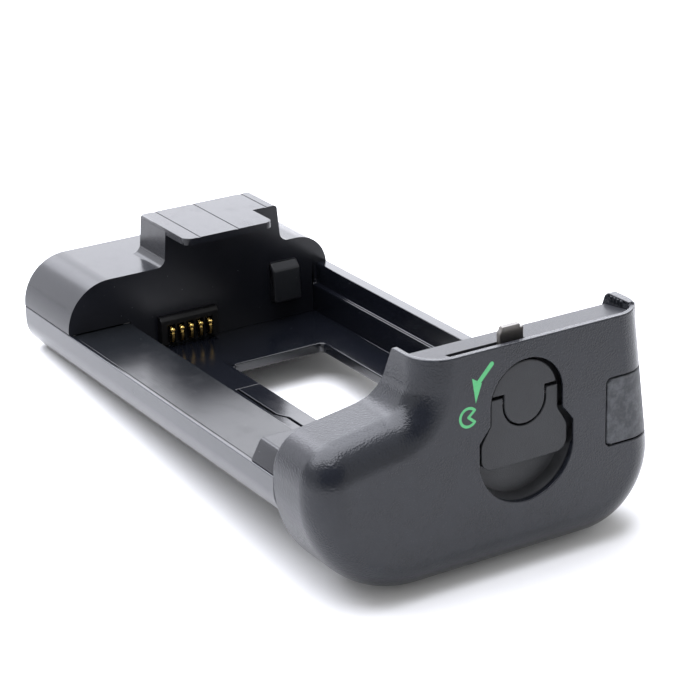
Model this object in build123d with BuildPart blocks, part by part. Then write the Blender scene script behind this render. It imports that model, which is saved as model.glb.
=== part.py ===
from build123d import *
import os

# Battery tray of a camera grip: a glossy tray with a contact hood at one end, and a matte end
# cap with a turning lock at the other. Millimetres.
#
# Frame: the origin is on the tray's flat underside, midway across it, below the wall that the
# battery's contact end meets. +X runs from that wall to the knob, and +Z is up.

# General
wall = 1.5             # moulded walls of the tray and the hood
seat_gap = 0.05        # between pieces that seat in one another
moving_gap = 0.3       # around pieces that move
running_gap = 0.05     # radial, shaft in its bearing
overrun = 5.0          # how far a cut runs past what it cuts
edge_soft = 0.3        # softened moulded edges
reach = 200.0          # longer than anything here, for cuts that split a piece

# Battery: a block that lies in the bay
battery_width = 40.0
battery_length = 56.0
battery_play = 0.4
finger_space = 20.5    # bay left free beyond the battery

# Tray
ledge_width = 12.9
far_wall_width = 3.2
bay_width = battery_width + battery_play
tray_width = ledge_width + bay_width + far_wall_width
tray_length = battery_length + finger_space
hood_length = 20.5
parting_height = 8.8
floor_thickness = 2.3
near_roll = 6.0
far_roll = 4.0
rear_roll = 1.2
rail_inset = 0.8
rail_height = 8.0
far_wall_height = 12.3
half_width = tray_width / 2
bay_near = -half_width + ledge_width
bay_far = bay_near + bay_width

# Ledge cover over the wiring channel
cover_thickness = 1.5
cover_drop = 0.2
cover_rim = 0.85
cover_seam = 0.18
ledge_top = parting_height - cover_drop
ledge_under = ledge_top - cover_thickness

# Window in the floor
window_start = 17.0
window_setback = 2.0   # from the battery's far end
window_inset = 12.65
window_width = 19.6
window_corner = 1.0
window_end = battery_length - window_setback
window_near = bay_near + window_inset
window_far = window_near + window_width
window_lip_width = 1.1
window_lip_height = 0.45
relief_depth = 0.8
relief_margin = 6.5

# Contact hood
hood_top = 18.25
hood_near_roll = 9.1
hood_far_roll = 6.6
block_top = 25.8
block_inset = 8.5
block_width = 24.3
block_rear = -10.3
block_draft = 0.6
block_foot = 3.6
block_roll = 0.8
tongue_reach = 8.1
tongue_thickness = 1.3
tongue_width = 18.9
tongue_corner = 1.6
crease_width = 0.6
crease_depth = 0.08
crease_shares = (0.12, 0.46, 0.9)
notch_width = 1.6
notch_depth = 0.6
notch_height = 1.4
notch_shares = (0.42, 0.62)
parting_chamfer = 0.25
block_near = bay_near + block_inset
block_far = block_near + block_width

# Guide wedge on the hood's front wall
wedge_inset = 3.75
wedge_width = 6.0
wedge_top = 14.3
wedge_bottom = 6.4
wedge_foot_reach = 2.0
wedge_head_reach = 1.6
wedge_chamfer = 1.4
wedge_near = bay_far - wedge_inset - wedge_width

# Battery connector
pin_count = 5
pin_pitch = 2.04
pin_inset = 12.0
connector_width = 12.4
connector_bottom = 2.9
connector_top = 8.4
connector_reach = 1.4
blade_width = 0.5
blade_dome = 0.5       # radius of the rounded head that meets the battery
blade_bottom = 2.8
blade_height = 3.4
blade_reach = 0.75
blade_bow = 0.3
blade_travel = 0.8
pin_middle = bay_near + pin_inset

# Contact board inside the hood
board_thickness = 1.0
board_margin = 3.0
board_height = 11.5
strip_width = 8.0
strip_thickness = 0.3

# Grip terminals on the hood's rear
terminal_count = 5
terminal_spacing = 2.5
terminal_width = 1.6
terminal_height = 5.0
terminal_proud = 0.15
terminal_block_height = 7.4
terminal_block_margin = 1.4
terminal_block_bottom = 9.0
terminal_recess = 0.8

# Battery latch: a springy plate cut free from the floor, pressed down to let the battery go
latch_root_inset = 10.0
latch_arm_length = 14.0
latch_bend_length = 2.5
latch_arm_width = 4.55
latch_neck_width = 3.4
latch_width = 13.2
latch_setback = 6.5
latch_corner = 1.0
slit_width = 0.45
root_gap = 0.1
stop_height = 1.8
stop_length = 1.6
stop_overlap = 1.8
push_ribs = 4
push_rib_pitch = 1.8
push_rib_width = 0.7
push_rib_height = 0.35
push_rib_setback = 3.3
latch_root = window_start + latch_root_inset
latch_bend_start = latch_root + latch_arm_length
latch_bend_end = latch_bend_start + latch_bend_length
latch_wide = window_near - latch_arm_width
latch_narrow = window_near - latch_neck_width
latch_far = window_near + latch_width
latch_end = tray_length - latch_setback
stop_near = window_near - stop_overlap

# End block on the ledge, against the cap
end_block_length = 8.0
end_block_top = 12.4
end_block_roll = 1.2
end_block_slope = 2.0
end_block_inset = 0.25

# End cap shell
cap_depth = 14.0
cap_overhang = 0.05
cap_far_overhang = 13.95
cap_far_lean = 4.9
cap_bottom = -12.1
cap_top = 28.1
neck_inset = 7.6
neck_draft = 0.65
neck_foot_height = 18.7
shoulder_height = 15.6
shoulder_roll = 7.0
neck_sweep = 5.5
cap_near_roll = 20.0
cap_far_roll = 14.0
cap_roll = 6.0
shell_wall = 1.8
face_wall = 1.1
thin_face_wall = 0.6   # over the round hollow that the handle turns in
rim_width = 1.2
back_lean = 4.2
back_lean_start = 18.0
side_lip_height = 2.3
side_lip_rise = 0.35
side_lip_length = 6.5
side_lip_radius = 1.6
side_lip_wall = 1.7
patch_ribs = 4
patch_rib_pitch = 0.9
patch_rib_width = 0.4
patch_rib_depth = 0.3
cap_near = -half_width - cap_overhang
cap_far_low = half_width + cap_far_overhang
cap_far_top = cap_far_low - cap_far_lean
neck_top_near = bay_near + neck_inset
neck_foot_near = neck_top_near - neck_draft
cap_back = tray_length
cap_face = tray_length + cap_depth

# End cap plate
plate_drop = 0.5
plate_fall = 1.3       # lower at the back than at the front
plate_thickness = 0.8
back_thickness = 1.6
slot_reach = 13.25
slot_past = 1.6
slot_width = 1.8
cable_hole_width = 7.0
cable_hole_height = 6.0

# Lock knob, its handle and the window that they lie in
knob_inset = 20.1
knob_height = 17.5
knob_radius = 6.7
knob_depth = 2.1
knob_recess = 0.8
window_radius = 7.3
window_waist_low = 3.1
window_half = 9.5
window_flare_low = 5.8
window_reach = 18.3
window_bottom_roll = 8.0
lobe_radius = 4.1
lobe_low = 0.45
knob_step = 1.5
ear_top = 1.0
ear_low = 3.3
handle_half = 8.65
handle_flare_low = 6.5
handle_reach = 11.4
handle_corner = 2.2
handle_thickness = 2.0
handle_pin_radius = 0.6
handle_pin_inner = 3.0
handle_pin_outer = 6.1
shaft_radius = 2.0
shaft_socket = 1.2
shaft_tail = 1.8
shaft_flat = 1.6
clip_radius = 3.2
clip_thickness = 0.6
groove_depth = 0.4
washer_radius = 3.4
washer_thickness = 0.4

# Latch hook on the knob's shaft
hook_thickness = 1.1
hook_near = -3.4
hook_far = 1.2
hook_reach = 12.4
hook_corner = 0.6
hook_hub_radius = 3.3

# Housing behind the knob
housing_radius = 14.1
housing_wall = 1.2
housing_floor = 1.6
housing_boss_radius = 3.6
housing_boss_length = 2.6
scoop_slope = 20.0
scoop_floor_low = 4.2

# Cable flap at the cap's far corner
flap_width = 13.3
flap_low = 5.0
flap_high = 17.0
flap_back = 4.4
flap_gap = 0.25
flap_corner = 0.8

# Screws
screw_radius = 0.8
screw_head_radius = 1.6
screw_head_height = 1.0
screw_length = 5.0
screw_slot_width = 0.4
screw_slot_depth = 0.5
hood_screw_inset = 6.5
hood_screw_side = 8.25
boss_radius = 2.2
cap_boss_radius = 2.6
near_screw_inset = 12.8
near_screw_rise = 9.2
middle_screw_rise = 6.9
far_screw_inset = 8.7
far_screw_rise = 12.1
tray_screw_height = 5.0

# Places worked out from the sizes above
knob_across = neck_top_near + knob_inset
knob_outer = cap_face - knob_recess
knob_inner = knob_outer - knob_depth
hook_front = knob_inner - running_gap
housing_face = hook_front - hook_thickness - moving_gap
housing_back = housing_face - housing_floor
shell_inside = cap_face - face_wall
plate_top = cap_top - plate_drop
plate_under = plate_top - plate_thickness
housing_top = plate_under - plate_fall - seat_gap
scoop_floor = knob_outer - handle_thickness - moving_gap
slot_near = knob_across - slot_reach
slot_far = knob_across + slot_past
flap_near = cap_far_low - flap_width
hood_screw_back = hood_screw_inset - hood_length
hood_screw_across = half_width - hood_screw_side
shaft_end = housing_back - housing_boss_length - shaft_tail
hook_plane = hook_front - hook_thickness
far_upper = bay_far + rail_inset
channel_near = -half_width + wall
channel_far = bay_near - wall
stop_start = battery_length + moving_gap
end_block_near = end_block_inset - half_width
cover_near = cover_rim - half_width
cap_screw_spots = (
    (cap_near + near_screw_inset, cap_bottom + near_screw_rise),
    (knob_across - cap_boss_radius, cap_bottom + middle_screw_rise),
    (cap_far_low - far_screw_inset, cap_bottom + far_screw_rise),
)
tray_screw_spots = (
    (cover_near + ledge_width / 2, (ledge_top + end_block_top) / 2),
    ((bay_far + half_width) / 2, tray_screw_height),
)


def bar(x, y, z, mode=Mode.ADD):
    """A straight-sided block between pairs of coordinates."""
    with Locations(((x[0] + x[1]) / 2, (y[0] + y[1]) / 2, (z[0] + z[1]) / 2)):
        Box(x[1] - x[0], y[1] - y[0], z[1] - z[0], mode=mode)


def rod(plane, radius, length, mode=Mode.ADD):
    """A round bar that starts on a plane and runs along its normal."""
    with BuildSketch(plane) as section:
        Circle(radius)
    extrude(section.sketch, amount=length, mode=mode)


def facing_knob(x):
    """A plane square to X, centred on the knob's axis."""
    return Plane((x, knob_across, knob_height), x_dir=(0, 1, 0), z_dir=(1, 0, 0))


def base_outline():
    """The edges of the tray's section."""
    with BuildLine() as outline:
        FilletPolyline(
            (-half_width, 0),
            (half_width, 0),
            (half_width, parting_height),
            (-half_width, parting_height),
            radius=(near_roll, far_roll, 0, 0),
            close=True,
        )
    return outline.edges()


def cap_outline(inset=0.0, rise=0.0):
    """The edges of the end cap's outline, seen along X, drawn in by an inset but raised on top."""
    with BuildLine() as outline:
        FilletPolyline(
            (cap_near + inset, cap_bottom + inset),
            (cap_far_low - inset, cap_bottom + inset),
            (cap_far_top - inset, cap_top - inset + rise),
            (neck_top_near + inset, cap_top - inset + rise),
            (neck_foot_near + inset, neck_foot_height - inset),
            (cap_near + inset, shoulder_height - inset),
            radius=(
                cap_near_roll - inset,
                cap_far_roll - inset,
                0,
                0,
                neck_sweep + inset,
                shoulder_roll - inset,
            ),
            close=True,
        )
    return outline.edges()


def cap_block(inset=0.0, rise=0.0, front=cap_face):
    """A solid of the end cap's outline from behind its back to a front with a rolled edge."""
    with BuildPart() as block:
        with BuildSketch(Plane.YZ.offset(front)):
            make_face(cap_outline(inset, rise))
        extrude(amount=-(front - cap_back) - (overrun if inset else 0))
        rolled = block.faces().sort_by(Axis.X)[-1].edges().filter_by(
            lambda edge: edge.center().Z < cap_top - inset + rise - edge_soft
        )
        fillet(rolled, cap_roll - inset)
    return block.part


def latch_outline(grow=0.0):
    """The edges of the battery latch, seen from above, let out by the slit around it."""
    with BuildLine() as outline:
        FilletPolyline(
            (latch_root, window_near + grow),
            (latch_root, latch_wide - grow),
            (latch_bend_start, latch_wide - grow),
            (latch_bend_end, latch_narrow - grow),
            (latch_end + grow, latch_narrow - grow),
            (latch_end + grow, latch_far + grow),
            (window_end - grow, latch_far + grow),
            (window_end - grow, window_near + grow),
            radius=(0, 0, latch_corner, latch_corner, latch_corner, latch_corner, latch_corner, 0),
            close=True,
        )
    return outline.edges()


def window_outline(grow=0.0):
    """The edges of the keyhole around the knob and the handle, with the knob's axis at its origin."""
    radius = window_radius + grow
    half = window_half + grow
    arc_start = window_bottom_roll - window_reach
    with BuildLine() as outline:
        Polyline((radius, 0), (radius, -window_waist_low), (half, -window_flare_low), (half, arc_start))
        ThreePointArc((half, arc_start), (0, -window_reach - grow), (-half, arc_start))
        Polyline(
            (-half, arc_start),
            (-half, -window_flare_low),
            (-radius, -window_waist_low),
            (-radius, 0),
        )
        ThreePointArc((-radius, 0), (0, radius), (radius, 0))
    return outline.edges()


def flap_block(grow=0.0):
    """A solid that covers the cable flap, let out by the gap around it."""
    with BuildPart() as block:
        with BuildSketch(Plane.YZ.offset(cap_back + flap_back - grow)):
            with Locations(((flap_near + cap_far_low + overrun) / 2, (flap_low + flap_high) / 2)):
                RectangleRounded(
                    cap_far_low + overrun - flap_near + 2 * grow,
                    flap_high - flap_low + 2 * grow,
                    flap_corner + grow,
                )
        extrude(amount=cap_depth + overrun)
    return block.part


# Tray base: floor, flanks, far wall with its rail, and the tub under the hood
with BuildPart() as tray_base:
    with BuildSketch(Plane.YZ.offset(-hood_length)):
        make_face(base_outline())
    extrude(amount=hood_length + tray_length)
    rear_edges = tray_base.faces().sort_by(Axis.X)[0].edges().sort_by(Axis.Z)
    fillet(rear_edges[0:1], rear_roll)
    bar(
        (0, tray_length),
        (far_upper, half_width),
        (parting_height - wall, far_wall_height),
    )
    bar(
        (0, tray_length + overrun),
        (bay_near, bay_far),
        (floor_thickness, far_wall_height + overrun),
        mode=Mode.SUBTRACT,
    )
    bar(
        (0, tray_length + overrun),
        (bay_far - overrun, far_upper),
        (rail_height, far_wall_height + overrun),
        mode=Mode.SUBTRACT,
    )
    bar(
        (wall - hood_length, -wall),
        (channel_near, half_width - wall),
        (floor_thickness, parting_height + overrun),
        mode=Mode.SUBTRACT,
    )
    bar(
        (-overrun, seat_gap),
        (bay_near, bay_far),
        (floor_thickness, parting_height + overrun),
        mode=Mode.SUBTRACT,
    )
    bar(
        (-overrun, tray_length - wall),
        (channel_near, channel_far),
        (floor_thickness, parting_height + overrun),
        mode=Mode.SUBTRACT,
    )
    bar(
        (0, tray_length + overrun),
        (cover_near, bay_near),
        (ledge_under, parting_height + overrun),
        mode=Mode.SUBTRACT,
    )
    with BuildSketch(Plane.XY.offset(-overrun)) as floor_window:
        with Locations(((window_start + window_end) / 2, (window_near + window_far) / 2)):
            RectangleRounded(window_end - window_start, window_far - window_near, window_corner)
    with BuildSketch(Plane.XY.offset(floor_thickness)) as window_lip:
        lip_middle = (window_near + window_far + window_lip_width) / 2
        with Locations(((window_start + window_end) / 2, lip_middle)):
            RectangleRounded(
                window_end - window_start + 2 * window_lip_width,
                window_far - window_near + window_lip_width,
                window_corner,
            )
    with BuildSketch(Plane.XY.offset(-overrun)) as latch_hole:
        make_face(latch_outline(grow=slit_width))
    extrude(window_lip.sketch, amount=window_lip_height)
    extrude(floor_window.sketch, amount=2 * overrun, mode=Mode.SUBTRACT)
    extrude(latch_hole.sketch, amount=2 * overrun, mode=Mode.SUBTRACT)
    bar(
        (window_start - relief_margin, tray_length + overrun),
        (window_near - relief_margin, window_far + relief_margin),
        (-overrun, relief_depth),
        mode=Mode.SUBTRACT,
    )
    rail_edges = tray_base.edges().filter_by(Axis.X).filter_by(
        lambda edge: bay_far - edge_soft < edge.center().Y < far_upper + edge_soft
        and rail_height - edge_soft < edge.center().Z < rail_height + edge_soft
        and edge.center().X > 0
    )
    fillet(rail_edges, edge_soft)
    rod(
        Plane((tray_length, *tray_screw_spots[1]), z_dir=(-1, 0, 0)),
        screw_radius,
        screw_length,
        mode=Mode.SUBTRACT,
    )
    for side in (-1, 1):
        rod(
            Plane((hood_screw_back, side * hood_screw_across, floor_thickness)),
            boss_radius,
            parting_height - floor_thickness,
        )
        rod(
            Plane((hood_screw_back, side * hood_screw_across, -overrun)),
            screw_radius + seat_gap,
            parting_height + 2 * overrun,
            mode=Mode.SUBTRACT,
        )
        rod(
            Plane((hood_screw_back, side * hood_screw_across, -overrun)),
            screw_head_radius + seat_gap,
            overrun + screw_head_height,
            mode=Mode.SUBTRACT,
        )
tray_base.part.label = "tray_base"

# Ledge cover: the glossy strip between the near flank and the bay
with BuildPart() as ledge_cover:
    bar(
        (seat_gap, tray_length - seat_gap),
        (cover_near + cover_seam, bay_near),
        (ledge_under, ledge_top),
    )
    fillet(ledge_cover.edges().filter_by(Axis.X).sort_by(Axis.Z)[-2:].sort_by(Axis.Y)[-1:], edge_soft)
ledge_cover.part.label = "ledge_cover"

# Contact hood: a rounded cover with a raised block, whose top plate reaches over the bay
with BuildPart() as contact_hood:
    with BuildSketch(Plane.YZ.offset(-hood_length)):
        with BuildLine():
            FilletPolyline(
                (parting_chamfer - half_width, parting_height),
                (half_width - parting_chamfer, parting_height),
                (half_width, parting_height + parting_chamfer),
                (half_width, hood_top),
                (-half_width, hood_top),
                (-half_width, parting_height + parting_chamfer),
                radius=(0, 0, 0, hood_far_roll, hood_near_roll, 0),
                close=True,
            )
        make_face()
    extrude(amount=hood_length)
    with BuildSketch(Plane.YZ.offset(block_rear)):
        with BuildLine():
            FilletPolyline(
                (block_near - block_draft - block_foot, hood_top - wall),
                (block_far + block_draft + block_foot, hood_top - wall),
                (block_far + block_draft + block_foot, hood_top),
                (block_far + block_draft, hood_top),
                (block_far, block_top),
                (block_near, block_top),
                (block_near - block_draft, hood_top),
                (block_near - block_draft - block_foot, hood_top),
                radius=(0, 0, 0, block_foot / 2, block_roll, block_roll, block_foot / 2, 0),
                close=True,
            )
        make_face()
    extrude(amount=-block_rear)
    bar(
        (block_rear / 2, tongue_reach),
        (block_near, block_near + tongue_width),
        (block_top - tongue_thickness, block_top),
    )
    tongue_edges = contact_hood.edges().filter_by(Axis.Z).sort_by(Axis.X)[-2:]
    fillet(tongue_edges, tongue_corner)
    rear_loop = contact_hood.faces().sort_by(Axis.X)[0].edges().filter_by(
        lambda edge: edge.center().Z > parting_height + edge_soft
    )
    fillet(rear_loop, rear_roll)
    with BuildSketch(Plane.YZ.offset(wall - hood_length)):
        with BuildLine():
            FilletPolyline(
                (wall - half_width, parting_height - overrun),
                (half_width - wall, parting_height - overrun),
                (half_width - wall, hood_top - wall),
                (wall - half_width, hood_top - wall),
                radius=(0, 0, hood_far_roll - wall, hood_near_roll - wall),
                close=True,
            )
        make_face()
    extrude(amount=hood_length - 2 * wall, mode=Mode.SUBTRACT)
    bar(
        (block_rear + wall, -wall),
        (block_near + wall, block_far - wall),
        (hood_top - overrun, block_top - wall),
        mode=Mode.SUBTRACT,
    )
    bar(
        (-wall, 0),
        (bay_near + seat_gap, bay_far - seat_gap),
        (floor_thickness + seat_gap, parting_height),
    )
    for share in crease_shares:
        crease = block_near + share * (block_far - block_near)
        bar(
            (block_rear - overrun, tongue_reach + overrun),
            (crease - crease_width / 2, crease + crease_width / 2),
            (block_top - crease_depth, block_top + overrun),
            mode=Mode.SUBTRACT,
        )
    for share in notch_shares:
        notch = block_near + share * (block_far - block_near)
        bar(
            (-notch_depth, notch_depth),
            (notch - notch_width / 2, notch + notch_width / 2),
            (block_top - tongue_thickness - notch_height, block_top - tongue_thickness),
            mode=Mode.SUBTRACT,
        )
    connector_half = connector_width / 2 + seat_gap
    bar(
        (-wall - overrun, overrun),
        (pin_middle - connector_half, pin_middle + connector_half),
        (connector_bottom - seat_gap, connector_top + seat_gap),
        mode=Mode.SUBTRACT,
    )
    terminal_half = (terminal_count - 1) * terminal_spacing / 2 + terminal_width / 2 + terminal_block_margin
    bar(
        (-hood_length - overrun, wall - hood_length + seat_gap),
        (-terminal_half - seat_gap, terminal_half + seat_gap),
        (
            terminal_block_bottom - seat_gap,
            terminal_block_bottom + terminal_block_height + seat_gap,
        ),
        mode=Mode.SUBTRACT,
    )
    for side in (-1, 1):
        screw_spot = (hood_screw_back, side * hood_screw_across, parting_height)
        rod(Plane(screw_spot), boss_radius, hood_top - wall / 2 - parting_height)
        rod(Plane(screw_spot), screw_radius, screw_length, mode=Mode.SUBTRACT)
contact_hood.part.label = "contact_hood"

# Guide wedge: the ramped block that lines up the battery's end
with BuildPart() as guide_wedge:
    with BuildSketch(Plane.XZ.offset(-wedge_near)):
        with BuildLine():
            Polyline(
                (0, wedge_bottom),
                (wedge_foot_reach, wedge_bottom),
                (wedge_head_reach, wedge_top - wedge_chamfer),
                (wedge_head_reach - wedge_chamfer, wedge_top),
                (0, wedge_top),
                close=True,
            )
        make_face()
    extrude(amount=-wedge_width)
guide_wedge.part.label = "guide_wedge"

# Connector block: the moulding that carries the battery contacts, through the hood's front wall
with BuildPart() as connector_block:
    bar(
        (-wall - board_thickness, connector_reach),
        (pin_middle - connector_width / 2, pin_middle + connector_width / 2),
        (connector_bottom, connector_top),
    )
    chamfer(connector_block.faces().sort_by(Axis.X)[-1].edges().sort_by(Axis.Z)[-1:], edge_soft * 2)
    groove_top = blade_bottom + blade_height + blade_bow + moving_gap
    groove_foot = connector_bottom - overrun
    with Locations((connector_reach, pin_middle, (groove_top + groove_foot) / 2)):
        with GridLocations(0, pin_pitch, 1, pin_count):
            Box(
                2 * (3 * blade_travel / 2 + moving_gap),
                2 * (blade_dome + moving_gap),
                groove_top - groove_foot,
                mode=Mode.SUBTRACT,
            )
connector_block.part.label = "connector_block"

# Battery contacts: five bowed gold blades with rounded heads
with BuildPart() as battery_contacts:
    blade_root = connector_reach - blade_travel / 2
    blade_tip = connector_reach + blade_reach
    blade_top = blade_bottom + blade_height
    with BuildSketch(Plane.XZ.offset(-pin_middle)):
        with BuildLine():
            ThreePointArc(
                (blade_root, blade_bottom),
                (blade_tip, (blade_bottom + blade_top) / 2 + blade_bow),
                (blade_root, blade_top + blade_bow),
            )
            Line((blade_root, blade_top + blade_bow), (blade_root, blade_bottom))
        make_face()
    extrude(amount=blade_width / 2, both=True)
    with Locations((blade_tip - blade_dome / 2, pin_middle, blade_top - blade_dome / 2)):
        Sphere(blade_dome)
    first_blade = battery_contacts.part
with BuildPart() as battery_contacts:
    for index in range(pin_count):
        add(first_blade.moved(Location((0, (index - (pin_count - 1) / 2) * pin_pitch, 0))))
battery_contacts.part.label = "battery_contacts"

# Contact board: stands behind the connector, inside the hood
board_front = -wall - board_thickness
with BuildPart() as contact_board:
    bar(
        (board_front - board_thickness, board_front),
        (
            pin_middle - connector_width / 2 - board_margin,
            pin_middle + connector_width / 2 + board_margin,
        ),
        (floor_thickness, floor_thickness + board_height),
    )
contact_board.part.label = "contact_board"

# Flat strip that joins the board to the grip terminals
strip_height = terminal_block_bottom + terminal_block_height / 4
with BuildPart() as wiring_strip:
    bar(
        (wall - hood_length + board_thickness, board_front - board_thickness),
        (pin_middle - strip_width / 2, pin_middle + strip_width / 2),
        (strip_height, strip_height + strip_thickness),
    )
wiring_strip.part.label = "wiring_strip"

# Grip terminals: flat gold pads in a block on the hood's rear
with BuildPart() as terminal_block:
    bar(
        (terminal_recess - hood_length, wall - hood_length + board_thickness),
        (-terminal_half, terminal_half),
        (terminal_block_bottom, terminal_block_bottom + terminal_block_height),
    )
terminal_block.part.label = "terminal_block"

with BuildPart() as grip_terminals:
    with Locations(
        (
            terminal_recess - hood_length - terminal_proud / 2,
            0,
            terminal_block_bottom + terminal_block_height / 2,
        )
    ):
        with GridLocations(0, terminal_spacing, 1, terminal_count):
            Box(terminal_proud, terminal_width, terminal_height)
grip_terminals.part.label = "grip_terminals"

# Hood screws: driven up from the underside
with BuildPart() as hood_screws:
    for side in (-1, 1):
        rod(
            Plane((hood_screw_back, side * hood_screw_across, screw_head_height / 5)),
            screw_head_radius,
            screw_head_height * 4 / 5,
        )
        rod(
            Plane((hood_screw_back, side * hood_screw_across, screw_head_height)),
            screw_radius - seat_gap,
            parting_height + screw_length / 2 - screw_head_height,
        )
        with Locations((hood_screw_back, side * hood_screw_across, screw_head_height / 5)):
            Box(2 * screw_head_radius, screw_slot_width, screw_slot_depth, mode=Mode.SUBTRACT)
            Box(screw_slot_width, 2 * screw_head_radius, screw_slot_depth, mode=Mode.SUBTRACT)
hood_screws.part.label = "hood_screws"

# Battery latch: an arm beside the window, a push plate, and the rib that holds the battery's end
with BuildPart() as battery_latch:
    with BuildSketch(Plane.XY.offset(relief_depth)):
        make_face(latch_outline())
    extrude(amount=floor_thickness - relief_depth)
    bar(
        (latch_root - overrun, latch_root + root_gap),
        (latch_wide - overrun, window_near + overrun),
        (relief_depth, floor_thickness),
        mode=Mode.SUBTRACT,
    )
    bar(
        (window_end, window_end + window_lip_width),
        (window_near, latch_far - latch_corner),
        (floor_thickness, floor_thickness + window_lip_height),
    )
    bar(
        (stop_start, stop_start + stop_length),
        (stop_near, latch_far - latch_corner),
        (floor_thickness, floor_thickness + stop_height),
    )
    chamfer(battery_latch.edges().filter_by(Axis.Y).sort_by(Axis.Z)[-1:], stop_length / 2)
    for index in range(push_ribs):
        rib_start = latch_end - push_rib_setback - index * push_rib_pitch
        bar(
            (rib_start, rib_start + push_rib_width),
            (stop_near + stop_length, latch_far - 2 * stop_length),
            (floor_thickness, floor_thickness + push_rib_height),
        )
battery_latch.part.label = "battery_latch"

# End block: the raised step on the ledge, against the cap
with BuildPart() as end_block:
    with BuildSketch(Plane.YZ.offset(tray_length - end_block_length)):
        with BuildLine():
            FilletPolyline(
                (end_block_near, parting_height),
                (cover_near, parting_height),
                (cover_near, ledge_top),
                (bay_near, ledge_top),
                (bay_near, end_block_top),
                (end_block_near + end_block_slope, end_block_top),
                radius=(0, 0, 0, 0, edge_soft, end_block_roll),
                close=True,
            )
        make_face()
    extrude(amount=end_block_length)
    rod(
        Plane((tray_length, *tray_screw_spots[0]), z_dir=(-1, 0, 0)),
        screw_radius,
        screw_length,
        mode=Mode.SUBTRACT,
    )
end_block.part.label = "end_block"

# End cap shell: front, sides and bottom of the cap, open at the back and the top
cap_cavity = cap_block(inset=shell_wall, front=shell_inside)
top_pocket = cap_block(inset=rim_width, rise=overrun, front=cap_face - rim_width)
plate_lid = cap_block(inset=rim_width + seat_gap, rise=overrun, front=cap_face - rim_width - seat_gap)
with BuildPart() as above_shoulder:
    bar(
        (cap_back - 2 * overrun, cap_face + overrun),
        (neck_foot_near, cap_far_top - side_lip_wall),
        (plate_under - overrun, cap_top + 2 * overrun),
    )
upper_half = above_shoulder.part
with BuildPart() as far_corner:
    bar(
        (cap_back, cap_back + back_lean + side_lip_length),
        (cap_far_top - side_lip_wall, cap_far_low),
        (cap_top - side_lip_height, cap_top + side_lip_rise),
    )
lip_space = far_corner.part
with BuildPart() as end_cap_shell:
    add(cap_block())
    add(cap_block(rise=side_lip_rise).intersect(lip_space))
    with BuildSketch(Plane.XZ.offset(-reach / 2)):
        with BuildLine():
            FilletPolyline(
                (cap_back - overrun, back_lean_start),
                (cap_back, back_lean_start),
                (cap_back + back_lean, cap_top + side_lip_rise),
                (cap_face + overrun, cap_top + side_lip_rise),
                (cap_face + overrun, cap_top + side_lip_rise + overrun),
                (cap_back - overrun, cap_top + side_lip_rise + overrun),
                radius=(0, 0, side_lip_radius, 0, 0, 0),
                close=True,
            )
        make_face()
    extrude(amount=reach, mode=Mode.SUBTRACT)
    add(cap_cavity, mode=Mode.SUBTRACT)
    add(top_pocket.intersect(upper_half), mode=Mode.SUBTRACT)
    for index in range(patch_ribs):
        rib_start = cap_back + back_lean + side_lip_radius + index * patch_rib_pitch
        bar(
            (rib_start, rib_start + patch_rib_width),
            (cap_far_top - side_lip_wall - patch_rib_depth, cap_far_top - side_lip_wall),
            (plate_top - plate_fall + 3 * patch_rib_depth, cap_top + side_lip_rise - patch_rib_depth),
        )
    for spot in cap_screw_spots:
        boss_start = cap_back + back_thickness + seat_gap
        rod(
            Plane((boss_start, *spot), z_dir=(1, 0, 0)),
            cap_boss_radius,
            shell_inside + face_wall / 2 - boss_start,
        )
        rod(Plane((boss_start, *spot), z_dir=(1, 0, 0)), screw_radius, screw_length, mode=Mode.SUBTRACT)
    with BuildSketch(facing_knob(cap_face - face_wall - overrun)):
        make_face(window_outline())
    extrude(amount=2 * overrun, mode=Mode.SUBTRACT)
    with BuildSketch(facing_knob(shell_inside - seat_gap)):
        Circle(housing_radius)
        with Locations((0, handle_half + moving_gap + housing_radius)):
            Rectangle(2 * housing_radius, 2 * housing_radius, mode=Mode.SUBTRACT)
    extrude(amount=face_wall - thin_face_wall + seat_gap, mode=Mode.SUBTRACT)
    add(flap_block(grow=flap_gap), mode=Mode.SUBTRACT)
end_cap_shell.part.label = "end_cap_shell"

# Cable flap: a rubber door around the cap's far corner
with BuildPart() as cable_flap:
    add(cap_block())
    add(flap_block(), mode=Mode.INTERSECT)
    add(cap_cavity, mode=Mode.SUBTRACT)
cable_flap.part.label = "cable_flap"

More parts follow.
